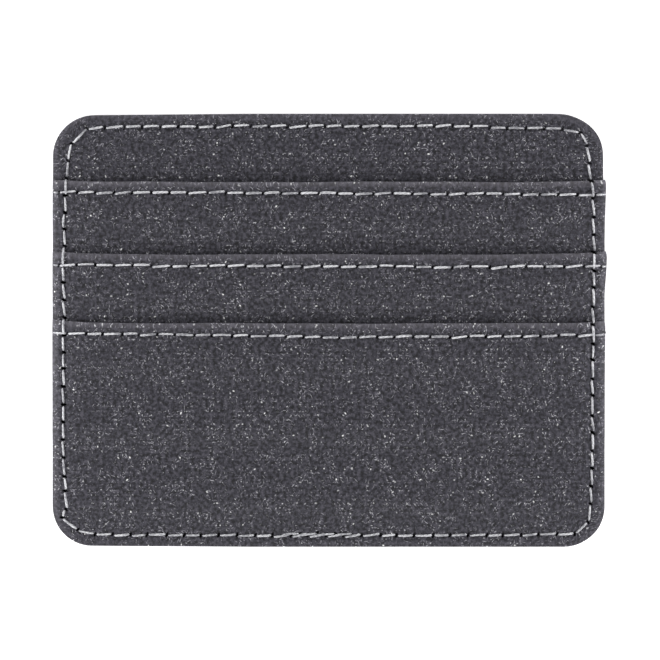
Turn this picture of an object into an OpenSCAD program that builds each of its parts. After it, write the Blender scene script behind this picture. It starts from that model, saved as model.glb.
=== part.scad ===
// Flat card holder in recycled leather, with three stepped pockets on a closed two-layer back.
// It lies on its back: +X to the right, +Y towards the top edge, +Z out of the front. Millimetres.

/* [Overall size] */
// Width of the back panels
panel_w = 99.8; // [94:0.1:110]
// Height from the bottom edge to the top edge
panel_h = 78.5; // [76:0.5:90]
// Radius of the two top corners
top_corner_r = 7.6; // [5:0.1:9]
// Radius of the two bottom corners
bottom_corner_r = 7.1; // [5:0.1:9]
// Thickness of one layer of leather
leather_t = 0.7; // [0.6:0.05:0.9]

/* [Pockets] */
// From the top edge down to the upper pocket's mouth
upper_drop = 12.35; // [11:0.05:13.5]
// From the upper pocket's mouth down to the middle pocket's mouth
middle_drop = 13.15; // [12:0.05:13.5]
// From the middle pocket's mouth down to the lower pocket's mouth
lower_drop = 12.45; // [12:0.05:13.5]
// How deep a card goes into the upper and middle pockets
card_depth = 42; // [38:0.5:43]
// How far the right ends of the turned hems stand out past the back panels
hem_flare = 0.55; // [0:0.05:0.8]

/* [Turned hems] */
// Length of leather turned in behind each mouth
hem_turn = 6; // [5:0.5:7]
// From a mouth down to its row of stitches
hem_row_drop = 2.3; // [1.5:0.1:3]

/* [Stitching] */
// From the outer edge in to the border seam
border_inset = 2.3; // [2:0.1:3]
// Number of stitches in the border seam
border_stitches = 102; // [102:1:103]
// Length of one stitch in the straight rows
row_pitch = 3.36; // [3.3:0.02:3.38]
// Width of the thread
thread_w = 0.5; // [0.3:0.05:0.6]
// Thickness of the thread where it is pulled down
thread_t = 0.4; // [0.3:0.05:0.4]
// Width across a needle hole
hole_d = 0.8; // [0.7:0.05:0.9]

/* [Hidden] */

LEATHER = "#47464c";
LEATHER_BACK = "#3f3e44";
THREAD = "#c3c3c6";
BOBBIN = "#b4b4b8";

half_w = panel_w / 2;
half_h = panel_h / 2;
// The flare is only on the right, so the panels sit left of the middle by half of it.
panel_x = -hem_flare / 2;
over = 1;                 // how far a cutter runs past what it cuts
stack_h = 8;              // taller than all the layers together
ramp = 3;                 // length over which a layer drops onto the next one
base_allowance = 2;       // leather below a pocket's base seam
flare_length = 8;         // how far down the flare dies away
groove_w = 0.9;           // pressed groove that a hidden thread lies in
border_groove_w = 1.4;    // the border's groove is wider, as its stitches cut the corners
post_w = 0.36;            // thread where it goes down a needle hole
bar_overlap = 0.1;        // how far a stitch runs past the middle of its hole
groove_relief = 0.05;     // the rear thread lies this much inside the rear face
arc_step = 15;            // degrees between points round a turned edge

UPPER = 0;
MIDDLE = 1;
LOWER = 2;

// Heights on Y of the three mouths, of the stitch rows below them and of the pockets' lower ends
mouth_y = [
    half_h - upper_drop,
    half_h - upper_drop - middle_drop,
    half_h - upper_drop - middle_drop - lower_drop
];
row_y = [for (m = mouth_y) m - hem_row_drop];
base_row_y = [for (k = [UPPER, MIDDLE]) mouth_y[k] - card_depth];
end_y = [base_row_y[UPPER] - base_allowance, base_row_y[MIDDLE] - base_allowance, -half_h];

// Level that a pocket's turned hem lies on: the back's two layers and one for each pocket behind
function hem_floor(pocket) = (2 + pocket) * leather_t;
function hem_top(pocket) = hem_floor(pocket) + 2 * leather_t;

// Underside of a pocket's front layer, from the end of its turned leather down to its lower end:
// it drops onto the layer behind, then again past the lower end of each pocket that it covers.
function underside(pocket) = concat(
    [[mouth_y[pocket] - hem_turn, hem_floor(pocket) + leather_t],
     [mouth_y[pocket] - hem_turn - ramp, hem_floor(pocket)]],
    [for (behind = [0 : 1 : pocket - 1], step = [0, 1])
        [end_y[behind] - step * ramp, hem_floor(pocket) - (behind + step) * leather_t]],
    [[end_y[pocket], hem_floor(0)]]
);
function raised(points) = [for (p = points) [p[0], p[1] + leather_t]];
function backwards(points) = [for (i = [len(points) - 1 : -1 : 0]) points[i]];

// Section of a pocket, as Y and Z: the round turned edge, the turned leather, then the front layer
function pocket_section(pocket) = concat(
    [for (a = [90 : -arc_step : -90])
        [mouth_y[pocket] - leather_t + leather_t * cos(a),
         hem_floor(pocket) + leather_t + leather_t * sin(a)]],
    [[mouth_y[pocket] - hem_turn, hem_floor(pocket)]],
    underside(pocket),
    backwards(raised(underside(pocket)))
);

// Height of a pocket's front at y, from the same points as its section
function front_z(pocket, y) = lookup(y, concat([[mouth_y[pocket], hem_top(pocket)]],
    raised(underside(pocket))));

// Highest surface under a stitch between y_low and y_high, with any hem thread it crosses
function stitch_floor(y_low, y_high) = max(concat(
    [2 * leather_t],
    [for (k = [UPPER : LOWER]) if (y_low < mouth_y[k] && y_high > end_y[k])
        front_z(k, min(y_high, mouth_y[k]))],
    [for (k = [UPPER : LOWER]) if (y_low - thread_w < row_y[k] && y_high + thread_w > row_y[k])
        hem_top(k) + thread_t]
));

// The border seam is a closed loop of chords on a rounded rectangle, from the middle of the top.
seam_half_w = half_w - border_inset;
seam_half_h = half_h - border_inset;
seam_top_r = top_corner_r - border_inset;
seam_bottom_r = bottom_corner_r - border_inset;
top_run = seam_half_w - seam_top_r;
top_arc = seam_top_r * PI / 2;
side_run = 2 * seam_half_h - seam_top_r - seam_bottom_r;
bottom_arc = seam_bottom_r * PI / 2;
bottom_run = seam_half_w - seam_bottom_r;
half_seam = top_run + top_arc + side_run + bottom_arc + bottom_run;

function on_arc(length, r) = length / r * 180 / PI;
function right_half_point(s) =
    s < top_run ? [s, seam_half_h] :
    s < top_run + top_arc ?
        let (a = on_arc(s - top_run, seam_top_r))
        [top_run + seam_top_r * sin(a), seam_half_h - seam_top_r * (1 - cos(a))] :
    s < top_run + top_arc + side_run ?
        [seam_half_w, seam_half_h - seam_top_r - (s - top_run - top_arc)] :
    s < half_seam - bottom_run ?
        let (a = on_arc(s - top_run - top_arc - side_run, seam_bottom_r))
        [bottom_run + seam_bottom_r * cos(a), seam_bottom_r * (1 - sin(a)) - seam_half_h] :
    [half_seam - s, -seam_half_h];
function seam_point(s) = s <= half_seam ? right_half_point(s) :
    let (p = right_half_point(2 * half_seam - s)) [-p[0], p[1]];
border_points = [for (i = [0 : border_stitches - 1])
    seam_point((i + 0.5) * 2 * half_seam / border_stitches)];

// Needle holes of a straight row, evenly spaced about the middle, as points on X
hem_holes = 30;
base_holes = 26;
function row_points(count) = [for (i = [0 : count - 1]) (i - (count - 1) / 2) * row_pitch];

// What lies outside a rounded corner of a w by h rectangle
module corner_waste(w, h, r, side, end) {
    translate([side * (w / 2 - r), end * (h / 2 - r)]) difference() {
        translate([side > 0 ? 0 : -r - over, end > 0 ? 0 : -r - over]) square(r + over);
        circle(r, $fn = 96);
    }
}

module rounded_face(w, h, top_r, bottom_r) {
    difference() {
        square([w, h], center = true);
        for (side = [-1, 1]) {
            corner_waste(w, h, top_r, side, 1);
            corner_waste(w, h, bottom_r, side, -1);
        }
    }
}

module panel_face() {
    rounded_face(panel_w, panel_h, top_corner_r, bottom_corner_r);
}

module needle_hole(x, y) {
    translate([x, y, -over]) cylinder(h = stack_h, d = hole_d, $fn = 8);
}

// The border's holes that reach up to a given height on Y
module border_holes(y_top) {
    for (p = border_points) if (p[1] < y_top + hole_d) needle_hole(p[0], p[1]);
}

module row_holes(y, count) {
    for (x = row_points(count)) needle_hole(x, y);
}

// Straight pressed groove for a hidden row, from z up by the thread's thickness
module row_groove(y, z, length) {
    translate([-length / 2, y - groove_w / 2, z]) cube([length, groove_w, thread_t]);
}

// One flat stitch from point to point, lying on z
module stitch_bar(from, to, z) {
    run = to - from;
    translate([from[0], from[1], z]) rotate([0, 0, atan2(run[1], run[0])])
        translate([-bar_overlap, -thread_w / 2, 0])
            cube([norm(run) + 2 * bar_overlap, thread_w, thread_t]);
}

// Thread inside a needle hole
module stitch_post(p, z_low, z_high) {
    translate([p[0], p[1], z_low]) cylinder(h = z_high - z_low, d = post_w, $fn = 8);
}

// A straight row's thread: bars on z_bar, and posts from them to the level where the threads lock
module row_thread(y, count, z_bar, z_lock, tail) {
    xs = row_points(count);
    z_mid = z_bar + thread_t / 2;
    for (i = [0 : count - 2]) stitch_bar([xs[i], y], [xs[i + 1], y], z_bar);
    for (x = xs) stitch_post([x, y], min(z_mid, z_lock), max(z_mid, z_lock));
    if (tail > 0) for (side = [-1, 1]) translate([side * (xs[count - 1] + tail / 2), y, z_mid])
        cube([tail + 2 * bar_overlap, thread_w, thread_t], center = true);
}

// A pocket before its holes: its section run across the panel and on into the flare, trimmed
// back to the panel's side below the flare, and round the lower pocket's two bottom corners
module pocket_blank(pocket) {
    flare_y = mouth_y[pocket] - hem_row_drop;
    difference() {
        translate([-half_w, 0, 0]) rotate([90, 0, 90])
            linear_extrude(panel_w + hem_flare) polygon(pocket_section(pocket));
        linear_extrude(stack_h) polygon([
            [half_w, -half_h - over],
            [half_w, mouth_y[pocket] - flare_length],
            [half_w + hem_flare, flare_y],
            [half_w + hem_flare + over, flare_y],
            [half_w + hem_flare + over, -half_h - over]
        ]);
        if (pocket == LOWER) linear_extrude(stack_h) for (side = [-1, 1])
            corner_waste(panel_w, panel_h, bottom_corner_r, side, -1);
    }
}

module pocket(pocket) {
    difference() {
        pocket_blank(pocket);
        border_holes(mouth_y[pocket]);
        row_holes(row_y[pocket], hem_holes);
        row_groove(row_y[pocket], hem_floor(pocket), panel_w + 2 * over);
        if (pocket != LOWER) {
            row_holes(base_row_y[pocket], base_holes);
            row_groove(base_row_y[pocket], 3 * leather_t - thread_t, base_holes * row_pitch);
        }
    }
}

module hem_thread(pocket) {
    row_thread(row_y[pocket], hem_holes, hem_top(pocket), hem_floor(pocket) + leather_t,
        half_w - (hem_holes - 1) / 2 * row_pitch - bar_overlap);
}

module hem_bobbin(pocket) {
    row_thread(row_y[pocket], hem_holes, hem_floor(pocket), hem_floor(pocket) + leather_t,
        half_w - (hem_holes - 1) / 2 * row_pitch - bar_overlap);
}

// The base seams hold a pocket's lower end to the body panel, one layer each.
module base_thread(pocket) {
    row_thread(base_row_y[pocket], base_holes, 3 * leather_t - thread_t, 2 * leather_t, 0);
}

module base_bobbin(pocket) {
    row_thread(base_row_y[pocket], base_holes, leather_t, 2 * leather_t, 0);
}

// Panels

module rear_panel() {
    color(LEATHER_BACK) translate([panel_x, 0, 0]) difference() {
        linear_extrude(leather_t) panel_face();
        border_holes(half_h);
        linear_extrude(thread_t + groove_relief) difference() {
            rounded_face(2 * seam_half_w + border_groove_w, 2 * seam_half_h + border_groove_w,
                seam_top_r + border_groove_w / 2, seam_bottom_r + border_groove_w / 2);
            rounded_face(2 * seam_half_w - border_groove_w, 2 * seam_half_h - border_groove_w,
                seam_top_r - border_groove_w / 2, seam_bottom_r - border_groove_w / 2);
        }
    }
}

module body_panel() {
    color(LEATHER) translate([panel_x, 0, 0]) difference() {
        translate([0, 0, leather_t]) linear_extrude(leather_t) panel_face();
        border_holes(half_h);
        for (pocket = [UPPER, MIDDLE]) {
            row_holes(base_row_y[pocket], base_holes);
            row_groove(base_row_y[pocket], leather_t, base_holes * row_pitch);
        }
    }
}

module upper_pocket() {
    color(LEATHER) translate([panel_x, 0, 0]) pocket(UPPER);
}

module middle_pocket() {
    color(LEATHER) translate([panel_x, 0, 0]) pocket(MIDDLE);
}

module lower_pocket() {
    color(LEATHER) translate([panel_x, 0, 0]) pocket(LOWER);
}

// Threads

module upper_hem_thread() {
    color(THREAD) translate([panel_x, 0, 0]) hem_thread(UPPER);
}

module middle_hem_thread() {
    color(THREAD) translate([panel_x, 0, 0]) hem_thread(MIDDLE);
}

module lower_hem_thread() {
    color(THREAD) translate([panel_x, 0, 0]) hem_thread(LOWER);
}

module upper_hem_bobbin() {
    color(BOBBIN) translate([panel_x, 0, 0]) hem_bobbin(UPPER);
}

module middle_hem_bobbin() {
    color(BOBBIN) translate([panel_x, 0, 0]) hem_bobbin(MIDDLE);
}

module lower_hem_bobbin() {
    color(BOBBIN) translate([panel_x, 0, 0]) hem_bobbin(LOWER);
}

module upper_base_thread() {
    color(THREAD) translate([panel_x, 0, 0]) base_thread(UPPER);
}

module middle_base_thread() {
    color(THREAD) translate([panel_x, 0, 0]) base_thread(MIDDLE);
}

module upper_base_bobbin() {
    color(BOBBIN) translate([panel_x, 0, 0]) base_bobbin(UPPER);
}

module middle_base_bobbin() {
    color(BOBBIN) translate([panel_x, 0, 0]) base_bobbin(MIDDLE);
}

// The border seam goes through every layer. Each stitch lies on the highest layer under it.
function next(i) = (i + 1) % border_stitches;
function before(i) = (i + border_stitches - 1) % border_stitches;
border_floor = [for (i = [0 : border_stitches - 1])
    let (a = border_points[i][1], b = border_points[next(i)][1])
    stitch_floor(min(a, b) - thread_w / 2, max(a, b) + thread_w / 2)];
function border_lock(i) = max(border_floor[i], border_floor[before(i)]) / 2;

module border_thread() {
    color(THREAD) translate([panel_x, 0, 0]) for (i = [0 : border_stitches - 1]) {
        stitch_bar(border_points[i], border_points[next(i)], border_floor[i]);
        stitch_post(border_points[i], border_lock(i),
            max(border_floor[i], border_floor[before(i)]) + thread_t / 2);
    }
}

module border_bobbin() {
    color(BOBBIN) translate([panel_x, 0, 0]) for (i = [0 : border_stitches - 1]) {
        stitch_bar(border_points[i], border_points[next(i)], groove_relief);
        stitch_post(border_points[i], groove_relief + thread_t / 2, border_lock(i));
    }
}

rear_panel();
body_panel();
upper_pocket();
middle_pocket();
lower_pocket();
upper_hem_thread();
middle_hem_thread();
lower_hem_thread();
upper_hem_bobbin();
middle_hem_bobbin();
lower_hem_bobbin();
upper_base_thread();
middle_base_thread();
upper_base_bobbin();
middle_base_bobbin();
border_thread();
border_bobbin();
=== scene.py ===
import math

import bpy
import numpy as np
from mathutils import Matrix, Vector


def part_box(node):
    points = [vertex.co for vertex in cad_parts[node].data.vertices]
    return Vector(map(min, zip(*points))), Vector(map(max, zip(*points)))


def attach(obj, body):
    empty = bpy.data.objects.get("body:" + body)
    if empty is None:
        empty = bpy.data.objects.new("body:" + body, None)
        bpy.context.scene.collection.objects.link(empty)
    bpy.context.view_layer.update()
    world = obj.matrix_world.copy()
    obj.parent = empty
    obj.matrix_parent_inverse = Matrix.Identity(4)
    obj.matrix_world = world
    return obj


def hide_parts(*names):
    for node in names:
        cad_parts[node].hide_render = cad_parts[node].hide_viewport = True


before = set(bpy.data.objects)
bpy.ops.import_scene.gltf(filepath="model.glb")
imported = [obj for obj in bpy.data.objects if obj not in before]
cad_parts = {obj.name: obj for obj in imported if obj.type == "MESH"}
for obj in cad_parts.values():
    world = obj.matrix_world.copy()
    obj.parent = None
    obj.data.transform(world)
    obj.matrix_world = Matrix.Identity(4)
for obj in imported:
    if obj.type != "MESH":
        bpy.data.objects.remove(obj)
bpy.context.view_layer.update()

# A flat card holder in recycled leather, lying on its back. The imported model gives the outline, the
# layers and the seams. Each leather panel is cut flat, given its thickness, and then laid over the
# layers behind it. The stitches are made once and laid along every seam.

MM = 0.001
dice = np.random.default_rng(41)

# ---------------------------------------------------------------------------------------------
# Driving sizes, in millimetres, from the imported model


def box_mm(node):
    low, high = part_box(node)
    return np.array(low) / MM, np.array(high) / MM


REAR_LOW, REAR_HIGH = box_mm("rear_panel")
LEATHER_T = REAR_HIGH[2] - REAR_LOW[2]
MIDDLE_X = (REAR_LOW[0] + REAR_HIGH[0]) / 2
HALF_W = (REAR_HIGH[0] - REAR_LOW[0]) / 2
HALF_H = (REAR_HIGH[1] - REAR_LOW[1]) / 2
TOP_R = 7.6
BOTTOM_R = 7.2
HEM_TURN = 6.0
HEM_RAMP = 6.0            # soft leather takes this long to settle behind a turned hem
END_RAMP = 5.0            # and this long past the lower end of a hidden pocket
SEAM_LOW, SEAM_HIGH = box_mm("border_thread")
CAD_THREAD_R = 0.25
SEAM_INSET = HALF_W - (SEAM_HIGH[0] - SEAM_LOW[0]) / 2 + CAD_THREAD_R
BASE_HOLES = 26
BASE_PITCH = 3.36
BASE_INSET = 2.0          # how far above a hidden pocket's end it is sewn down

POCKETS = ("upper", "middle", "lower")
MOUTH_Y = [box_mm(f"{name}_pocket")[1][1] for name in POCKETS]
END_Y = [box_mm(f"{name}_pocket")[0][1] for name in POCKETS]
FLARE = [0.48, 0.60, 0.27]        # how far the right ends of the hems stand out
FLARE_END = [0.24, 0.14, 0.20]    # and how far the panel's side below them does
LEFT_RISE = [0.50, 0.55, 0.75]    # the mouths are held higher at both ends by the border seam
RIGHT_RISE = [0.45, 0.60, 0.50]
ROW_DROP = MOUTH_Y[0] - np.mean([b[1] for b in box_mm("upper_hem_thread")])

# The border seam as it was really sewn, clockwise from the upper left: the stitches of each leg,
# and the points it runs through. It cuts each corner with one stitch, and wanders on the sides.
BORDER_LEGS = [
    (27, [(-43.9, 36.6), (-40.5, 36.7), (-20, 36.95), (24, 37.0), (30, 36.7), (42, 36.5), (45.4, 35.8)]),
    (1, [(45.4, 35.8), (46.6, 33.4)]),
    (21, [(46.6, 33.4), (47.2, 30.3), (47.8, 22), (47.85, 13), (47.5, 0), (47.5, -22), (47.2, -31.5),
          (46.8, -34.75)]),
    (1, [(46.8, -34.75), (44.4, -36.85)]),
    (28, [(44.4, -36.85), (41.3, -36.95), (20, -37.15), (-20, -37.1), (-42.7, -36.9), (-45.6, -36.1)]),
    (1, [(-45.6, -36.1), (-48.35, -33.9)]),
    (1, [(-48.35, -33.9), (-47.7, -32.4)]),
    (21, [(-47.7, -32.4), (-48.2, -20), (-47.95, -2), (-48.1, 11), (-47.8, 24), (-47.4, 31.2),
          (-46.7, 33.9)]),
    (1, [(-46.7, 33.9), (-43.9, 36.6)]),
]
# The hem rows, left to right: how many stitches, and the points they run through
HEM_LEGS = [
    (29, [(-49.0, 24.9), (0, 24.68), (48.2, 24.48)]),
    (29, [(-49.0, 11.75), (-25, 11.53), (0, 11.52), (18, 11.35), (49.2, 11.5)]),
    (29, [(-47.4, -0.55), (-25, -0.9), (2, -1.35), (24, -1.18), (47.9, -0.95)]),
]

# ---------------------------------------------------------------------------------------------
# The shape of the stacked leather


def ease(low, high, x):
    """0 below low, 1 above high, and smooth between."""
    t = np.clip((x - low) / (high - low), 0, 1)
    return t * t * (3 - 2 * t)


def bell(x, width):
    return np.exp(-(x / width) ** 2)


def corner_parts(x, y):
    radius = np.where(y > 0, TOP_R, BOTTOM_R)
    across = np.abs(x - MIDDLE_X) - (HALF_W - radius)
    along = np.abs(y) - (HALF_H - radius)
    return radius, across, along


def edge_distance(x, y):
    """How far a point is inside the rounded outline."""
    radius, across, along = corner_parts(x, y)
    beyond = np.hypot(np.maximum(across, 0), np.maximum(along, 0))
    return radius - beyond - np.minimum(np.maximum(across, along), 0)


def round_corners(x, y):
    """Bends the square corners of a cut panel into round ones, ring by ring."""
    radius, across, along = corner_parts(x, y)
    corner = (across > 0) & (along > 0)
    big = np.maximum(across, along)
    small = np.minimum(across, along)
    angle = np.where(corner, small / np.maximum(big, 1e-9), 0) * math.pi / 4
    far, near = big * np.cos(angle), big * np.sin(angle)
    wide = across >= along
    new_across = np.where(wide, far, near)
    new_along = np.where(wide, near, far)
    new_x = MIDDLE_X + np.sign(x - MIDDLE_X) * (HALF_W - radius + new_across)
    new_y = np.sign(y) * (HALF_H - radius + new_along)
    x, y = np.where(corner, new_x, x), np.where(corner, new_y, y)
    # Cut by hand: the top and the bottom edge run in a little towards the left end.
    taper = np.where(y > 0, 0.0088, 0.0065) * np.maximum(-14 - x, 0) * (y / HALF_H) ** 4
    trim = 0.24 * bell(x - 45.5, 3) * ease(33, 37, y)
    return x, y - np.sign(y) * taper - trim


def mouth(pocket, x):
    """The line of a pocket's mouth: held up at both ends by the border, with a slight sag between."""
    left, right = x - (MIDDLE_X - HALF_W), MIDDLE_X + HALF_W - x
    rise = LEFT_RISE[pocket] * np.exp(-np.maximum(left, 0) / 6)
    rise = rise + RIGHT_RISE[pocket] * np.exp(-np.maximum(right, 0) / 4)
    ripple = 0.05 * np.sin(x / 7.3 + 2 * pocket) + 0.03 * np.sin(x / 2.9 + pocket)
    return MOUTH_Y[pocket] + rise + ripple - 0.05


def level(pocket, y):
    """Top of a pocket's front layer before anything presses it down."""
    hem_end = MOUTH_Y[pocket] - HEM_TURN
    top = (pocket + 3) * LEATHER_T + LEATHER_T * ease(hem_end - HEM_RAMP, hem_end, y)
    for behind in range(pocket):
        top = top - LEATHER_T * (1 - ease(END_Y[behind] - END_RAMP, END_Y[behind], y))
    return top


def hem_floor(pocket):
    return (pocket + 2) * LEATHER_T


FOLD_THINS, ROW_THINS, ROW_DIMPLE = 0.20, 0.02, 0.06      # shares of the hem's height
GAPE = 0.22               # how far an empty mouth stands open


def hem_press(pocket, x, y, z):
    """The turned hem thins towards its fold and under its row of stitches, and gapes a little."""
    below = mouth(pocket, x) - y
    press = 1 - FOLD_THINS * bell(below, 1.2) - ROW_THINS * bell(below - ROW_DROP, 0.5)
    press = press - ROW_DIMPLE * near_holes(HEM_XY[pocket], x, y, 0.36)
    side = np.abs(x - MIDDLE_X) / HALF_W
    gape = GAPE * (1 - np.minimum(side, 1) ** 4) * bell(below, 4.5)
    floor = hem_floor(pocket)
    return floor + (z - floor) * press + gape


def near_holes(holes, x, y, width):
    """Rises to 1 at each needle hole, to dimple the leather round it."""
    total = np.zeros(len(x))
    for hole_x, hole_y in holes:
        close = (np.abs(x - hole_x) < 3 * width) & (np.abs(y - hole_y) < 3 * width)
        total[close] += bell(np.hypot(x[close] - hole_x, y[close] - hole_y), width)
    return np.minimum(total, 1)


# Shares of the stack's height that are pressed away: at the rim, at the border seam, and at its holes
ROLL_LEFT, ROLL_RIGHT, ROLL_TOP, ROLL_BOTTOM = 0.27, 0.23, 0.14, 0.05
SEAM_PRESS = [(0.09, 1.6), (0.12, 5.5)]       # each with how far inside the seam it dies away, in mm
SEAM_LINE, SEAM_DIMPLE = 0.015, 0.05


def side_roll(x, y):
    """The rim was burnished over: most at the left and right, less at the top, hardly at the bottom."""
    _, across, along = corner_parts(x, y)
    wide, tall = np.maximum(across + 0.01, 0) ** 2, np.maximum(along + 0.01, 0) ** 2
    straight = wide + tall == 0
    wide = np.where(straight, across > along, wide)
    tall = np.where(straight, across <= along, tall)
    share = wide / (wide + tall)
    sideways = np.where(x < MIDDLE_X, ROLL_LEFT, ROLL_RIGHT)
    upright = np.where(y > 0, ROLL_TOP, ROLL_BOTTOM)
    return share * sideways + (1 - share) * upright, 1.3 + 0.6 * share


def squeeze(x, y):
    """How much of its height the whole stack keeps: less along the border seam and at the rim."""
    edge = edge_distance(x, y)
    seam = edge - SEAM_INSET
    pressed = sum(share * np.exp(-np.maximum(seam, 0) / reach) for share, reach in SEAM_PRESS)
    keep = 1 - pressed - SEAM_LINE * bell(seam, 0.5)
    roll, width = side_roll(x, y)
    keep = keep - roll * np.clip(1 - edge / width, 0, 1.1) ** 2
    keep = keep - SEAM_DIMPLE * near_holes(BORDER_XY, x, y, 0.45)
    swell = 0.012 * np.sin(x / 15 + 0.6) * np.cos(y / 11 - 0.4) + 0.006 * np.sin(x / 6.1 + y / 7.7)
    return keep + swell * ease(1, 8, edge)


def front_height(x, y):
    """Height of the finished front at any point: the highest layer there, pressed into place."""
    z = np.full(len(x), 2 * LEATHER_T)
    for pocket in range(len(POCKETS)):
        below = mouth(pocket, x) - y
        turn = np.clip(below, 0, LEATHER_T)
        rounded = LEATHER_T - np.sqrt(LEATHER_T ** 2 - (LEATHER_T - turn) ** 2)
        layer = hem_press(pocket, x, y, level(pocket, y) - rounded)
        z = np.where((below >= 0) & (y >= END_Y[pocket]), layer, z)
    return z * squeeze(x, y)


def flared(pocket, x, y):
    """The right end of a hem stands out past the back panels, and dies away below it."""
    below = MOUTH_Y[pocket] - y
    out = FLARE_END[pocket] + (FLARE[pocket] - FLARE_END[pocket]) * (1 - ease(0, 9, below))
    corner = np.where(below < 0.7, 0.13 * (0.7 - np.maximum(below, -0.4)) ** 2, 0)
    return x + (out - corner) * ease(HALF_W - 4, HALF_W, x - MIDDLE_X)


# ---------------------------------------------------------------------------------------------
# Where the needle went through


def along_route(route, distance):
    """Points at given distances along a route, and its whole length in mm."""
    route = np.array(route, dtype=float)
    run = np.concatenate([[0], np.cumsum(np.hypot(*np.diff(route, axis=0).T))])
    return np.stack([np.interp(distance, run, route[:, k]) for k in (0, 1)], axis=1), run[-1]


def sewn(legs, closed, along=0.11, aside=0.045):
    """Needle holes of a seam, with the small unevenness of a machine fed by hand."""
    holes = []
    for count, route in legs:
        places = np.arange(count) / count * along_route(route, [0])[1]
        if count > 1:
            places[1:] += dice.normal(0, along, count - 1)
        points = along_route(route, places)[0]
        points[1:] += dice.normal(0, aside, (count - 1, 2)) * (count > 1)
        holes.append(points)
    if not closed:
        holes.append([legs[-1][1][-1]])
    return np.vstack(holes)


BORDER_XY = sewn(BORDER_LEGS, True)
HEM_XY = [sewn([leg], False) for leg in HEM_LEGS]


def in_back_tack(x, y):
    """Where the border seam was sewn twice."""
    return (x > -11.5) & (x < 8.5) & (y < -HALF_H + 4)


def seam_distance(x, y):
    """How far a point is from the border seam's line, up to 3 mm."""
    nearest = np.full(len(x), 3.0)
    near = edge_distance(x, y) < 2 * SEAM_INSET + 2
    points = np.stack([x[near], y[near]], axis=1)
    for start, run in zip(BORDER_XY, np.roll(BORDER_XY, -1, axis=0) - BORDER_XY):
        share = np.clip((points - start) @ run / (run @ run), 0, 1)
        far = np.linalg.norm(points - start - share[:, None] * run, axis=1)
        nearest[near] = np.minimum(nearest[near], far)
    return nearest


# The border seam's first holes at the bottom, and those of its last stitches, half a stitch along
FIRST_XY = BORDER_XY[in_back_tack(*BORDER_XY.T)]
FIRST_XY = FIRST_XY[np.argsort(FIRST_XY[:, 0])]
OVER_XY = (FIRST_XY[:-1] + FIRST_XY[1:]) / 2 + [0, 0.06]
BASE_RUN = BASE_PITCH * (BASE_HOLES - 1) / 2


def base_leg(y):
    return BASE_HOLES - 1, [(MIDDLE_X - BASE_RUN, y), (MIDDLE_X + BASE_RUN, y)]


BASE_XY = [sewn([base_leg(END_Y[k] + BASE_INSET)], False) for k in (0, 1)]

# ---------------------------------------------------------------------------------------------
# Modelling helpers


def deselect():
    bpy.ops.object.select_all(action="DESELECT")


def only(obj):
    deselect()
    obj.select_set(True)
    bpy.context.view_layer.objects.active = obj


def apply_modifier(obj, kind, **settings):
    modifier = obj.modifiers.new(kind.title(), kind)
    for key, value in settings.items():
        setattr(modifier, key, value)
    only(obj)
    bpy.ops.object.modifier_apply(modifier=modifier.name)


def points_of(mesh):
    flat = np.empty(len(mesh.vertices) * 3)
    mesh.vertices.foreach_get("co", flat)
    return flat.reshape(-1, 3)


def put_points(mesh, points):
    mesh.vertices.foreach_set("co", np.ascontiguousarray(points, dtype=np.float32).ravel())
    mesh.update()


def joined(name, copies):
    """One piece of several copies, each of which had its own mesh."""
    deselect()
    for copy in copies:
        copy.select_set(True)
    bpy.context.view_layer.objects.active = copies[0]
    bpy.ops.object.join()
    piece = bpy.context.view_layer.objects.active
    piece.name = piece.data.name = name
    return piece


def copy_of(template, points):
    copy = template.copy()
    copy.data = template.data.copy()
    bpy.context.scene.collection.objects.link(copy)
    put_points(copy.data, points)
    return copy


def remove(obj):
    mesh = obj.data
    bpy.data.objects.remove(obj)
    bpy.data.meshes.remove(mesh)


# ---------------------------------------------------------------------------------------------
# Leather panels

RIM_LINES = np.array([0, 0.10, 0.22, 0.38, 0.57, 0.78, 1.0, 1.25, 1.5, 1.75, 2.0, 2.25, 2.5, 2.75,
                      3.0, 3.3, 3.7, 4.2, 4.8])
FACE_STEP = 0.6
HIDDEN_STEP = 1.6         # behind the pocket in front
HEM_STEP = 0.22           # near a fold
HEM_RUN = 4.4             # and how far from the fold that goes on
FOLD_STEP = 0.11          # round the fold
FOLD_INNER = 0.05         # inside radius of the fold
CUT_BEVEL = 0.09


def lines_between(low, high, step):
    return np.linspace(low, high, max(2, int(round((high - low) / step)) + 1))


def with_rims(low, high, step):
    """Lines across a panel: close together at both rims, and even between."""
    between = lines_between(low + RIM_LINES[-1], high - RIM_LINES[-1], step)
    return np.concatenate([low + RIM_LINES, between[1:-1], high - RIM_LINES[::-1]])


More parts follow.
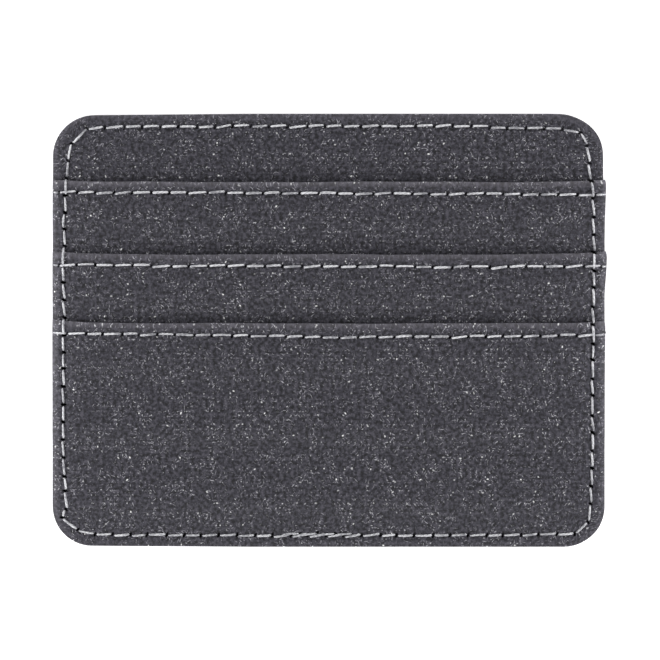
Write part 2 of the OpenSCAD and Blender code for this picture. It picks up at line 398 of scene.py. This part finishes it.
def cut_panel(name, across, down, pattern_shift):
    """A flat panel as it is cut: a grid with lines where the shape needs them, then its thickness.
    It keeps its place on the hide as the UV map "cut", in metres, so the grain follows the leather."""
    deselect()
    bpy.ops.mesh.primitive_grid_add(x_subdivisions=len(across) - 1, y_subdivisions=len(down) - 1,
                                    size=1, calc_uvs=True, location=(0, 0, 0))
    panel = bpy.context.view_layer.objects.active
    panel.name = panel.data.name = name
    mesh = panel.data
    points = points_of(mesh)
    column = np.rint((points[:, 0] + 0.5) * (len(across) - 1)).astype(int)
    row = np.rint((points[:, 1] + 0.5) * (len(down) - 1)).astype(int)
    points = np.stack([across[column], down[row], np.zeros(len(points))], axis=1)
    put_points(mesh, points)
    apply_modifier(panel, "SOLIDIFY", thickness=LEATHER_T, offset=1)
    apply_modifier(panel, "BEVEL", width=CUT_BEVEL, segments=2, limit_method="ANGLE",
                   angle_limit=math.radians(60))
    mesh = panel.data
    points = points_of(mesh)
    hide = points[:, :2] + pattern_shift
    for k in (0, 1):
        # The grain goes on down the cut edge.
        middle, half = (points[:, k].max() + points[:, k].min()) / 2, np.ptp(points[:, k]) / 2
        out = points[:, k] - middle
        at_cut = half - np.abs(out) < 0.9 * CUT_BEVEL
        hide[:, k] += np.where(at_cut, np.sign(out) * (LEATHER_T - points[:, 2]), 0)
    corner = np.empty(len(mesh.loops), dtype=np.int32)
    mesh.loops.foreach_get("vertex_index", corner)
    mesh.uv_layers[0].name = "cut"
    mesh.uv_layers[0].data.foreach_set("uv", (hide[corner] * MM).astype(np.float32).ravel())
    return panel


def paint_highlight(panel, amount):
    """Stores where a pale painted highlight goes, for the leather material: along the folds and the rims.
    """
    layer = panel.data.attributes.new("painted_highlight", "FLOAT", "POINT")
    layer.data.foreach_set("value", np.clip(amount, 0, 1).astype(np.float32))


# Painted highlight along the rims: its strength differs from side to side, as the lamps fall on them.
def rim_highlight(x, y):
    edge = edge_distance(x, y)
    _, across, along = corner_parts(x, y)
    side = ease(-2, 2, across - along)
    sides = np.where(x < MIDDLE_X, 0.50, 0.36) * bell(edge + 0.3, 1.2)
    ends = np.where(y > 0, 0.72, 0.22) * bell(edge, 1.1)
    return side * sides + (1 - side) * ends


def finish_panel(panel, x, y, z):
    """Lays the panel in its place in the stack."""
    x, y = round_corners(x, y)
    # Painted highlight along the rims.
    paint_highlight(panel, rim_highlight(x, y))
    put_points(panel.data, np.stack([x, y, z * squeeze(x, y)], axis=1))


def layer_panel(name, floor, pattern_shift, groove=0.0):
    """One of the two flat layers of the back."""
    panel = cut_panel(name, with_rims(MIDDLE_X - HALF_W, MIDDLE_X + HALF_W, FACE_STEP),
                      with_rims(-HALF_H, HALF_H, FACE_STEP), pattern_shift)
    x, y, w = points_of(panel.data).T
    z = floor + w
    if groove:
        # The rear thread lies in a line pressed into the rear face.
        pressed = groove * np.exp(-(seam_distance(*round_corners(x, y)) / 0.55) ** 4)
        z = z + pressed * (1 - w / LEATHER_T)
    finish_panel(panel, x, y, z)
    return panel


def pocket_panel(pocket, pattern_shift):
    """A pocket: turned in at its mouth, then down over the layers behind it to its lower end."""
    flap = HEM_TURN - LEATHER_T
    arc = math.pi * (FOLD_INNER + LEATHER_T) / 2
    front = MOUTH_Y[pocket] - LEATHER_T - END_Y[pocket]
    hidden = MOUTH_Y[pocket] - MOUTH_Y[pocket + 1] + HEM_TURN if pocket < 2 else front
    near_fold = lines_between(0, HEM_RUN, HEM_STEP)
    down = [lines_between(0, flap - HEM_RUN, FACE_STEP), flap - near_fold[-2::-1],
            flap + lines_between(0, arc, FOLD_STEP)[1:], flap + arc + near_fold[1:]]
    if pocket < 2:
        down.append(flap + arc + lines_between(HEM_RUN, hidden, FACE_STEP)[1:])
        down.append(flap + arc + lines_between(hidden, front, HIDDEN_STEP)[1:])
    else:
        down.append(flap + arc + lines_between(HEM_RUN, front - RIM_LINES[-1], FACE_STEP)[1:])
        down.append(flap + arc + front - RIM_LINES[-2::-1])
    panel = cut_panel(f"{POCKETS[pocket]}_pocket_leather",
                      with_rims(MIDDLE_X - HALF_W, MIDDLE_X + HALF_W, FACE_STEP),
                      -np.concatenate(down)[::-1], pattern_shift)
    x, v, w = points_of(panel.data).T
    v = -v
    line = mouth(pocket, x)
    fold_y, fold_z = line - LEATHER_T, level(pocket, MOUTH_Y[pocket]) - LEATHER_T
    radius = FOLD_INNER + w * (1 - FOLD_INNER / LEATHER_T)
    angle = np.clip((v - flap) / arc, 0, 1) * math.pi - math.pi / 2
    y = fold_y + radius * np.cos(angle)
    z = fold_z + radius * np.sin(angle)
    on_flap = v < flap
    y = np.where(on_flap, line - HEM_TURN + v, y)
    z = np.where(on_flap, fold_z - radius, z)
    on_front = v > flap + arc
    share = (v - flap - arc) / front
    front_y = fold_y + share * (END_Y[pocket] - fold_y)
    y = np.where(on_front, front_y, y)
    z = np.where(on_front, level(pocket, front_y) - LEATHER_T + radius, z)
    # Painted highlight: pale along the fold's rounded top just below the mouth, and along the rims.
    fold_highlight = 0.95 * bell(line - y - 0.35, 0.8) * (z > fold_z)
    z = hem_press(pocket, x, y, z)
    x, y = round_corners(x, y)
    paint_highlight(panel, fold_highlight + rim_highlight(x, y))
    height = z * squeeze(x, y)
    put_points(panel.data, np.stack([flared(pocket, x, y), y, height], axis=1))
    return panel


def needle_cutter(holes, closed, low, high, long, short, slant):
    """Slits left by a leather needle, all as one cutter, turned to the run of their seam."""
    deselect()
    bpy.ops.mesh.primitive_cylinder_add(vertices=10, radius=0.5, depth=1, location=(0, 0, 0))
    template = bpy.context.view_layer.objects.active
    shape = points_of(template.data)
    ahead = np.roll(holes, -1, axis=0) - np.roll(holes, 1, axis=0)
    if not closed:
        ahead[0], ahead[-1] = holes[1] - holes[0], holes[-1] - holes[-2]
    copies = []
    for (x, y), (run_x, run_y) in zip(holes, ahead):
        angle = math.atan2(run_y, run_x) + slant + dice.normal(0, 0.14)
        size = dice.uniform(0.85, 1.12)
        along, aside = shape[:, 0] * long * size, shape[:, 1] * short * size
        points = np.stack([
            x + along * math.cos(angle) - aside * math.sin(angle),
            y + along * math.sin(angle) + aside * math.cos(angle),
            low + (shape[:, 2] + 0.5) * (high - low),
        ], axis=1)
        copies.append(copy_of(template, points))
    remove(template)
    return joined("needle_holes", copies)


def pierce(panel, cutter):
    apply_modifier(panel, "BOOLEAN", operation="DIFFERENCE", solver="EXACT", object=cutter)


def smooth_leather(panel):
    only(panel)
    bpy.ops.object.shade_smooth_by_angle(angle=math.radians(50))


REAR_GROOVE = 0.42

rear = layer_panel("rear_leather", 0, (310, 40), groove=REAR_GROOVE)
body = layer_panel("body_leather", LEATHER_T, (20, 160))
pockets = [pocket_panel(k, (38.4 + 113 * k, 290 + 71 * k)) for k in range(len(POCKETS))]

# From the front each hole ends on the rear panel, and from the back a little way into it: the
# two threads lock between, so no light comes through.
front_holes = np.vstack([BORDER_XY, OVER_XY[1:-1] + [0, 0.25]])
border_cutter = needle_cutter(front_holes, True, 0.40, 7, 1.05, 0.50, math.radians(68))
for panel in [body, *pockets]:
    pierce(panel, border_cutter)
remove(border_cutter)
rear_cutter = needle_cutter(BORDER_XY, True, -1, 0.45, 0.90, 0.42, math.radians(68))
pierce(rear, rear_cutter)
remove(rear_cutter)
for k, panel in enumerate(pockets):
    row_cutter = needle_cutter(HEM_XY[k], False, hem_floor(k) * 0.6, 7, 0.84, 0.38, math.radians(58))
    pierce(panel, row_cutter)
    remove(row_cutter)

for panel in [rear, body, *pockets]:
    put_points(panel.data, points_of(panel.data) * MM)
    smooth_leather(panel)

# ---------------------------------------------------------------------------------------------
# Stitches

THREAD_R = 0.195
RINGS = 13
SIDES = 8
TWIST_PITCH = 1.5         # one turn of the two plies
LEG = 0.5                 # how far the thread goes down its hole
BEND = 0.28               # radius of the bend into it
PLY_DEPTH = 0.13          # how far the two plies show in the outline, as a share of the radius
FLATTENED = 0.86
PULLED_THIN = 0.35        # share of the thickness lost at a stitch's ends, and over what length
PULLED_RUN = 0.7
MOST_ASIDE = 0.5          # furthest that a stitch's end is from the middle of its hole


def stitch_template():
    """A straight two-ply length of thread: a tube with rings, ready to be laid."""
    deselect()
    bpy.ops.mesh.primitive_cylinder_add(vertices=SIDES, radius=1, depth=1, location=(0, 0, 0),
                                        calc_uvs=True)
    tube = bpy.context.view_layer.objects.active
    bpy.ops.object.mode_set(mode="EDIT")
    bpy.ops.mesh.select_mode(type="EDGE")
    bpy.ops.mesh.select_all(action="DESELECT")
    bpy.ops.object.mode_set(mode="OBJECT")
    points = points_of(tube.data)
    for edge in tube.data.edges:
        a, b = edge.vertices
        edge.select = bool(abs(points[a, 2] - points[b, 2]) > 0.5)
    bpy.ops.object.mode_set(mode="EDIT")
    bpy.ops.mesh.subdivide(number_cuts=RINGS - 2)
    bpy.ops.object.mode_set(mode="OBJECT")
    tube.data.uv_layers[0].name = "ply"
    return tube


def upper_hull(s, z):
    """A taut thread's heights over the bumps below it."""
    keep = []
    for i in range(len(s)):
        while len(keep) > 1:
            a, b = keep[-2], keep[-1]
            if (z[b] - z[a]) * (s[i] - s[a]) <= (z[i] - z[a]) * (s[b] - s[a]):
                keep.pop()
            else:
                break
        keep.append(i)
    return np.interp(s, s[keep], z[keep])


def stitch_line(start, end, height, side, lift, gap):
    """Ring centres of one stitch, up out of one hole, along the leather and down the next. The gap
    is from the middle of a hole to the thread in it."""
    run = end - start
    length = np.hypot(*run)
    ahead = run / length
    flat = np.linspace(gap + BEND, length - gap - BEND, RINGS - 6)
    bend = np.array([0, math.radians(50)])
    rise = gap + BEND * (1 - np.cos(bend))
    s = np.concatenate([[gap], rise, flat, length - rise[::-1], [length - gap]])
    drop_in = BEND * (np.sin(bend) - 1)
    drop = np.concatenate([[-BEND - LEG], drop_in, np.zeros(len(flat)), drop_in[::-1], [-BEND - LEG]])
    curl = dice.normal(0.07, 0.05) * np.sin(np.pi * (s / length) ** 0.6)
    x = start[0] + s * ahead[0] - curl * ahead[1]
    y = start[1] + s * ahead[1] + curl * ahead[0]
    under = height(x, y)
    if side > 0:
        z = upper_hull(s, under + THREAD_R * lift)
        z = z + 0.03 * np.sin(np.pi * s / length)
    else:
        z = under
    return np.stack([x, y, z + side * drop], axis=1)


def lay_thread(template, rings, turn, thickness=1.0):
    """Bends a copy of the template along ring centres, with its twist."""
    shape = points_of(template.data)
    ring = np.rint((shape[:, 2] + 0.5) * (RINGS - 1)).astype(int)
    around = np.arctan2(shape[:, 1], shape[:, 0])
    ahead = np.gradient(rings, axis=0)
    ahead = ahead / np.linalg.norm(ahead, axis=1, keepdims=True)
    level_run = rings[-1] - rings[0]
    aside = np.cross([0, 0, 1], [level_run[0], level_run[1], 0])
    aside = aside / np.linalg.norm(aside)
    up = np.cross(ahead, aside)
    up = up / np.linalg.norm(up, axis=1, keepdims=True)
    travelled = np.concatenate([[0], np.cumsum(np.linalg.norm(np.diff(rings, axis=0), axis=1))])
    twist = turn + 2 * math.pi * travelled / TWIST_PITCH
    from_end = travelled[ring] - travelled[-1] * (ring > RINGS / 2)
    pulled = 1 - PULLED_THIN * bell(from_end, PULLED_RUN)
    pulled = pulled * (1.10 - 0.20 * travelled[ring] / travelled[-1])
    radius = THREAD_R * thickness * pulled * (1 + PLY_DEPTH * np.cos(2 * (around - twist[ring])))
    points = (rings[ring] + aside * (radius * np.cos(around))[:, None]
              + up[ring] * (radius * np.sin(around) * FLATTENED)[:, None])
    return copy_of(template, points * MM)


def slanted(holes, i, j, slant):
    """Ends of one stitch: it leaves its hole low and enters the next one high, as lockstitch does."""
    start, end = holes[i], holes[j]
    run = (end - start) / np.hypot(*(end - start))
    out = np.array([-run[1], run[0]])
    low, high = np.clip(dice.normal(slant, 0.08, 2), -MOST_ASIDE, MOST_ASIDE)
    return start - out * low, end + out * high


def seam(name, holes, closed, height, side=1, slant=0.14, lift=0.35, gap=0.34, tails=(), extra=()):
    """All the stitches of one thread, as one piece: those between its holes, any extra ones of a
    back-tack, and its cut ends."""
    template = stitch_template()
    count = len(holes) if closed else len(holes) - 1
    copies = []
    for i in range(count):
        start, end = slanted(holes, i, (i + 1) % len(holes), slant)
        if len(extra) and in_back_tack(*(start + end) / 2):
            start, end = start + [0, 0.10], end - [0, 0.24]
        rings = stitch_line(start, end, height, side, lift, gap)
        copies.append(lay_thread(template, rings, dice.uniform(0, math.pi), dice.uniform(0.88, 1.08)))
    for start, end in extra:
        rings = stitch_line(start, end, height, side, lift + 0.3, 0.2)
        copies.append(lay_thread(template, rings, dice.uniform(0, math.pi), 0.90))
    for points in tails:
        copies.append(lay_thread(template, tail_line(points, height, lift), 0.4, 0.95))
    remove(template)
    return joined(name, copies)


def tail_line(points, height, lift):
    """A cut end: up out of its last hole and out to the edge of the leather."""
    route = np.array(points, dtype=float)
    x, y = along_route(route[:, :2], np.linspace(0, along_route(route[:, :2], [0])[1], RINGS))[0].T
    z = height(x, y) + THREAD_R * lift
    z[0] -= LEG + BEND
    z[1] -= BEND * 0.4
    return np.stack([x, y, z], axis=1)


LEFT_X, RIGHT_X = MIDDLE_X - HALF_W, MIDDLE_X + HALF_W
HEM_THREAD_BUMP = 0.36                 # how far the border thread is lifted where it crosses a hem's
HEM_TAIL_OUT = [0.38, 0.42, 0.62]      # how far each cut end reaches on the right
HEM_TAIL_UP = [0.15, 0.10, 0.75]       # and how far up it lies there


def hem_tails(k):
    first, last = HEM_XY[k][0], HEM_XY[k][-1]
    right = [last + [0.1, 0], last + [0.6, 0.02], [RIGHT_X + 0.2, last[1] + 0.3 * HEM_TAIL_UP[k]],
             [RIGHT_X + FLARE[k] + HEM_TAIL_OUT[k] - 0.5, last[1] + HEM_TAIL_UP[k]]]
    left = [first - [0.1, 0], first - [0.5, 0.02], [LEFT_X - 0.02, first[1] + 0.10]]
    return [right, left]


def hem_front_height(k):
    """The front as the hem thread meets it: the right end of the hem stands out."""
    def height(x, y):
        inside = x - FLARE[k] * ease(HALF_W - 4, HALF_W, x - MIDDLE_X)
        return front_height(np.clip(inside, LEFT_X + 0.2, RIGHT_X - 0.2), y)
    return height


def hem_stitches(k):
    return seam(f"{POCKETS[k]}_hem_stitches", HEM_XY[k], False, hem_front_height(k),
                slant=0.14, gap=0.30, tails=hem_tails(k))


def hem_back_height(k):
    def height(x, y):
        z = hem_press(k, x, y, np.full(len(x), hem_floor(k) + 0.10))
        return z * squeeze(x, y)
    return height


def flat_height(z):
    return lambda x, y: np.full(len(x), z)


def over_hems(x, y):
    """The front as the border thread meets it: it also rides over the hem threads it crosses."""
    z = front_height(x, y)
    for k in range(len(POCKETS)):
        z = z + HEM_THREAD_BUMP * bell(y - (mouth(k, x) - ROW_DROP), 0.28)
    return z


def back_tack():
    """The border seam starts and ends at the bottom, where its last stitches run over its first
    ones, half a stitch along: two strands that lie across each other like the plies of a rope."""
    return [(a - [0, 0.16], b + [0, 0.22]) for a, b in zip(OVER_XY[:-1], OVER_XY[1:])]


pieces = {}
pieces["border"] = seam("border_stitches", BORDER_XY, True, over_hems, extra=back_tack())
pieces["border_rear"] = seam("border_bobbin_stitches", BORDER_XY, True, flat_height(0.24), side=-1,
                             slant=0.05)
for k, pocket in enumerate(POCKETS):
    pieces[f"{pocket}_hem"] = hem_stitches(k)
    pieces[f"{pocket}_hem_rear"] = seam(f"{pocket}_hem_bobbin_stitches", HEM_XY[k], False,
                                        hem_back_height(k), side=-1, slant=0.04)
for k in (0, 1):
    pocket = POCKETS[k]
    pieces[f"{pocket}_base"] = seam(f"{pocket}_base_stitches", BASE_XY[k], False,
                                    flat_height(3 * LEATHER_T - 0.25), slant=0.04)
    pieces[f"{pocket}_base_rear"] = seam(f"{pocket}_base_bobbin_stitches", BASE_XY[k], False,
                                         flat_height(LEATHER_T + 0.22), side=-1, slant=0.04)
for piece in pieces.values():
    only(piece)
    bpy.ops.object.shade_smooth()

# ---------------------------------------------------------------------------------------------
# Materials


def linear(hex_colour):
    """sRGB hex to linear RGBA."""
    parts = [int(hex_colour[i:i + 2], 16) / 255 for i in (1, 3, 5)]
    return [c / 12.92 if c <= 0.04045 else ((c + 0.055) / 1.055) ** 2.4 for c in parts] + [1.0]


def add(tree, kind, settings=None, **links):
    """Adds a node, sets its settings, and sets or links its inputs. A name such as i0 is an index."""
    node = tree.nodes.new("ShaderNode" + kind)
    for key, value in (settings or {}).items():
        setattr(node, key, value)
    for key, value in links.items():
        is_index = key[0] == "i" and key[1:].isdigit()
        socket = node.inputs[int(key[1:])] if is_index else node.inputs[key.replace("_", " ")]
        if isinstance(value, bpy.types.NodeSocket):
            tree.links.new(value, socket)
        else:
            socket.default_value = value
    return node


def new_material(name):
    material = bpy.data.materials.new(name)
    material.use_nodes = True
    tree = material.node_tree
    tree.nodes.clear()
    return material, tree


def fibre_layer(tree, place, cell, length, width, bend, share):
    """Short fibres lying every way: one in each cell, turned by chance, in millimetres.
    Returns how much fibre shows, and the fibres' own chance value."""
    wobble = add(tree, "TexNoise", {"noise_dimensions": "2D"}, Vector=place, Scale=1.1 / length, Detail=1.0)
    centred = add(tree, "VectorMath", {"operation": "SUBTRACT"}, i0=wobble.outputs["Color"],
                  i1=(0.5, 0.5, 0.5))
    bent = add(tree, "VectorMath", {"operation": "MULTIPLY_ADD"}, i0=centred.outputs[0],
               i1=(bend, bend, 0), i2=place)
    cells = add(tree, "TexVoronoi", {"voronoi_dimensions": "2D"}, Vector=bent.outputs[0], Scale=1 / cell)
    local = add(tree, "VectorMath", {"operation": "SUBTRACT"}, i0=bent.outputs[0],
                i1=cells.outputs["Position"])
    chance = add(tree, "SeparateColor", Color=cells.outputs["Color"])
    angle = add(tree, "Math", {"operation": "MULTIPLY"}, i0=chance.outputs[0], i1=2 * math.pi)
    turned = add(tree, "VectorRotate", {"rotation_type": "Z_AXIS"}, Vector=local.outputs[0],
                 Angle=angle.outputs[0])
    reach = add(tree, "MapRange", Value=chance.outputs[2], To_Min=length * 0.25, To_Max=length * 0.5)
    sized = add(tree, "CombineXYZ", X=reach.outputs[0], Y=width / 2, Z=1.0)
    scaled = add(tree, "VectorMath", {"operation": "DIVIDE"}, i0=turned.outputs[0], i1=sized.outputs[0])
    flat = add(tree, "VectorMath", {"operation": "MULTIPLY"}, i0=scaled.outputs[0], i1=(1, 1, 0))
    far = add(tree, "VectorMath", {"operation": "LENGTH"}, i0=flat.outputs[0])
    shown = add(tree, "MapRange", {"interpolation_type": "SMOOTHSTEP"}, Value=far.outputs["Value"],
                From_Min=1.25, From_Max=0.35)
    strength = add(tree, "MapRange", Value=chance.outputs[1], From_Min=1 - share, From_Max=1.0)
    return add(tree, "Math", {"operation": "MULTIPLY"}, i0=shown.outputs[0], i1=strength.outputs[0])


# The pale fibres, each kind as cell, length and width in mm, how much it bends, the share of cells
# that show one, and its colour
FIBRES = [
    (0.80, 0.50, 0.22, 0.20, 0.58, "#08080a"),
    (0.46, 0.50, 0.145, 0.25, 0.60, "#918f97"),
    (0.85, 1.00, 0.120, 0.45, 0.60, "#b0afb6"),
    (0.80, 0.46, 0.18, 0.15, 0.40, "#d2d2d7"),
    (2.00, 0.55, 0.27, 0.15, 0.42, "#ffffff"),
]


def bonded_leather():
    """Recycled leather: ground leather fibres bonded into a sheet and calendered. Matt charcoal,
    mottled at a few tenths of a millimetre, with pale fibres lying every way and small dark pits."""
    material, tree = new_material("calendered_bonded_leather")
    hide = add(tree, "UVMap", {"uv_map": "cut"})
    place = add(tree, "VectorMath", {"operation": "SCALE"}, i0=hide.outputs[0], Scale=1000.0).outputs[0]
    fine = add(tree, "TexNoise", {"noise_dimensions": "2D"}, Vector=place, Scale=1.5, Detail=3.0,
               Roughness=0.58)
    ground = add(tree, "ValToRGB", Fac=fine.outputs[0])
    ramp = ground.color_ramp
    ramp.elements[0].position, ramp.elements[0].color = 0.33, linear("#161519")
    ramp.elements[1].position, ramp.elements[1].color = 0.70, linear("#4d4b54")
    middle = ramp.elements.new(0.50)
    middle.color = linear("#313038")
    # Pale fibres gather in loose clumps a few millimetres across.
    clumps = add(tree, "TexNoise", {"noise_dimensions": "2D"}, Vector=place, Scale=0.38, Detail=3.0)
    gather = add(tree, "MapRange", Value=clumps.outputs[0], From_Min=0.40, From_Max=0.58,
                 To_Min=0.10, To_Max=1.05)
    colour = ground.outputs[0]
    fibres = []
    for cell, length, width, bend, share, pale in FIBRES:
        layer = fibre_layer(tree, place, cell, length, width, bend, share)
        amount = add(tree, "Math", {"operation": "MULTIPLY"}, i0=layer.outputs[0], i1=gather.outputs[0])
        colour = add(tree, "Mix", {"data_type": "RGBA"}, i0=amount.outputs[0], i6=colour,
                     i7=linear(pale)).outputs[2]
        fibres.append(amount.outputs[0])
    # Painted highlight: a pale colour screened over the leather along the folds and the rims.
    painted_highlight = add(tree, "Attribute", {"attribute_name": "painted_highlight"})
    highlighted_colour = add(tree, "Mix", {"data_type": "RGBA", "blend_type": "SCREEN"}, i0=painted_highlight.outputs["Fac"],
               i6=colour, i7=linear("#3d3b3f"))
    relief = add(tree, "Math", {"operation": "MULTIPLY_ADD"}, i0=fibres[0], i1=0.5, i2=fine.outputs[0])
    bump = add(tree, "Bump", Height=relief.outputs[0], Distance=0.00006, Strength=0.8)
    shader = add(tree, "BsdfPrincipled", Base_Color=highlighted_colour.outputs[2], Roughness=0.68,
                 Normal=bump.outputs[0])
    shader.inputs["Specular IOR Level"].default_value = 0.35
    add(tree, "OutputMaterial", Surface=shader.outputs[0])
    return material


def twisted_thread(name, pale, dark):
    """Twisted two-ply polyester sewing thread: a soft sheen, with painted shade as darker lines in the
    grooves between the plies, and some stitches pulled tighter and duller than others."""
    material, tree = new_material(name)
    ply = add(tree, "UVMap", {"uv_map": "ply"})
    parts = add(tree, "SeparateXYZ", Vector=ply.outputs[0])
    turns = add(tree, "Math", {"operation": "MULTIPLY"}, i0=parts.outputs[1], i1=10.0)
    phase = add(tree, "Math", {"operation": "MULTIPLY_ADD"}, i0=parts.outputs[0], i1=2.0,
                i2=turns.outputs[0])
    wave = add(tree, "Math", {"operation": "PINGPONG"}, i0=phase.outputs[0], i1=0.5)
    local = add(tree, "TexCoord")
    place = add(tree, "VectorMath", {"operation": "SCALE"}, i0=local.outputs["Object"], Scale=1000.0)
    hairs = add(tree, "TexNoise", Vector=place.outputs[0], Scale=2.2, Detail=2.0)
    pull = add(tree, "TexNoise", Vector=place.outputs[0], Scale=0.35, Detail=0.0)
    # Painted shade: the colour darkens in the grooves between the two plies.
    groove = add(tree, "MapRange", {"interpolation_type": "SMOOTHSTEP"}, Value=wave.outputs[0],
                 From_Max=0.25, To_Min=0.45)
    uneven = add(tree, "Math", {"operation": "ADD"}, i0=hairs.outputs[0], i1=pull.outputs[0])
    bright = add(tree, "MapRange", Value=uneven.outputs[0], From_Min=0.72, From_Max=1.16)
    tone = add(tree, "Math", {"operation": "MULTIPLY"}, i0=groove.outputs[0], i1=bright.outputs[0])
    colour = add(tree, "Mix", {"data_type": "RGBA"}, i0=tone.outputs[0], i6=linear(dark), i7=linear(pale))
    bump = add(tree, "Bump", Height=groove.outputs[0], Distance=0.00004, Strength=0.5)
    shader = add(tree, "BsdfPrincipled", Base_Color=colour.outputs[2], Roughness=0.55,
                 Normal=bump.outputs[0])
    shader.inputs["Sheen Weight"].default_value = 0.2
    add(tree, "OutputMaterial", Surface=shader.outputs[0])
    return material


def white_sweep():
    """Matt white acrylic, lit from under as well, so that it stays white round the dark leather."""
    material, tree = new_material("white_light_table")
    shader = add(tree, "BsdfPrincipled", Base_Color=linear("#f7f7f7"), Roughness=0.9)
    shader.inputs["Emission Color"].default_value = (1, 1, 1, 1)
    shader.inputs["Emission Strength"].default_value = 0.6
    add(tree, "OutputMaterial", Surface=shader.outputs[0])
    return material


LEATHER = bonded_leather()
NEEDLE_THREAD = twisted_thread("light_grey_polyester_thread", "#d6d6da", "#828288")
BOBBIN_THREAD = twisted_thread("grey_bobbin_thread", "#d6d6da", "#85858b")


def hand_over(piece, material, slot, *nodes):
    """Gives a finished piece its material, and lets it stand for its CAD nodes."""
    piece.data.materials.clear()
    piece.data.materials.append(material)
    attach(piece, "root")
    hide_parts(*nodes)


hand_over(rear, LEATHER, "leather", "rear_panel")
hand_over(body, LEATHER, "leather", "body_panel")
for k, pocket in enumerate(POCKETS):
    hand_over(pockets[k], LEATHER, "leather", f"{pocket}_pocket")
    hand_over(pieces[f"{pocket}_hem"], NEEDLE_THREAD, "needle_thread", f"{pocket}_hem_thread")
    hand_over(pieces[f"{pocket}_hem_rear"], BOBBIN_THREAD, "bobbin_thread", f"{pocket}_hem_bobbin")
for pocket in POCKETS[:2]:
    hand_over(pieces[f"{pocket}_base"], NEEDLE_THREAD, "needle_thread", f"{pocket}_base_thread")
    hand_over(pieces[f"{pocket}_base_rear"], BOBBIN_THREAD, "bobbin_thread", f"{pocket}_base_bobbin")
hand_over(pieces["border"], NEEDLE_THREAD, "needle_thread", "border_thread")
hand_over(pieces["border_rear"], BOBBIN_THREAD, "bobbin_thread", "border_bobbin")

# ---------------------------------------------------------------------------------------------
# Stage, lights and camera

deselect()
bpy.ops.mesh.primitive_plane_add(size=3, location=(0, 0, -0.00002))
floor = bpy.context.view_layer.objects.active
floor.name = "white_floor"
floor.data.materials.append(white_sweep())


def softbox(name, direction, height, distance, size, power):
    """A square softbox aimed at the holder. Direction is in degrees from +X, towards +Y."""
    light = bpy.data.lights.new(name, "AREA")
    light.shape = "RECTANGLE"
    light.size, light.size_y = size
    light.energy = power
    lamp = bpy.data.objects.new(name, light)
    bpy.context.scene.collection.objects.link(lamp)
    turn = math.radians(direction)
    lamp.location = (distance * math.cos(turn), distance * math.sin(turn), height)
    lamp.rotation_euler = (math.atan2(distance, height), 0, turn + math.pi / 2)
    lamp.visible_camera = False
    return lamp


softbox("left_strip", 180, 0.044, 0.205, (0.30, 0.06), 0.44)
softbox("right_strip", 0, 0.044, 0.205, (0.30, 0.06), 0.39)
softbox("top_softbox", 90, 0.125, 0.587, (0.4, 0.2), 2.1)
softbox("low_front_softbox", 270, 0.282, 0.530, (0.4, 0.2), 1.13)
softbox("high_front_softbox", 270, 0.491, 0.344, (0.4, 0.4), 1.46)

world = bpy.data.worlds.new("studio")
bpy.context.scene.world = world
world.use_nodes = True
world.node_tree.nodes["Background"].inputs[0].default_value = (1, 1, 1, 1)
world.node_tree.nodes["Background"].inputs[1].default_value = 0.20

FRAME_WIDTH = 119.68          # millimetres across the picture at the leather's height
LENS = 180.0
SENSOR = 36.0
VIEW_HEIGHT = 0.8
camera = bpy.data.objects.new("camera", bpy.data.cameras.new("camera"))
bpy.context.scene.collection.objects.link(camera)
camera.data.lens = LENS
camera.data.sensor_width = SENSOR
camera.data.clip_start, camera.data.clip_end = 0.01, 10
camera.location = (0.08 * MM, 0.03 * MM, (VIEW_HEIGHT + FRAME_WIDTH * LENS / SENSOR) * MM)
bpy.context.scene.camera = camera
bpy.context.scene.view_settings.view_transform = "Standard"
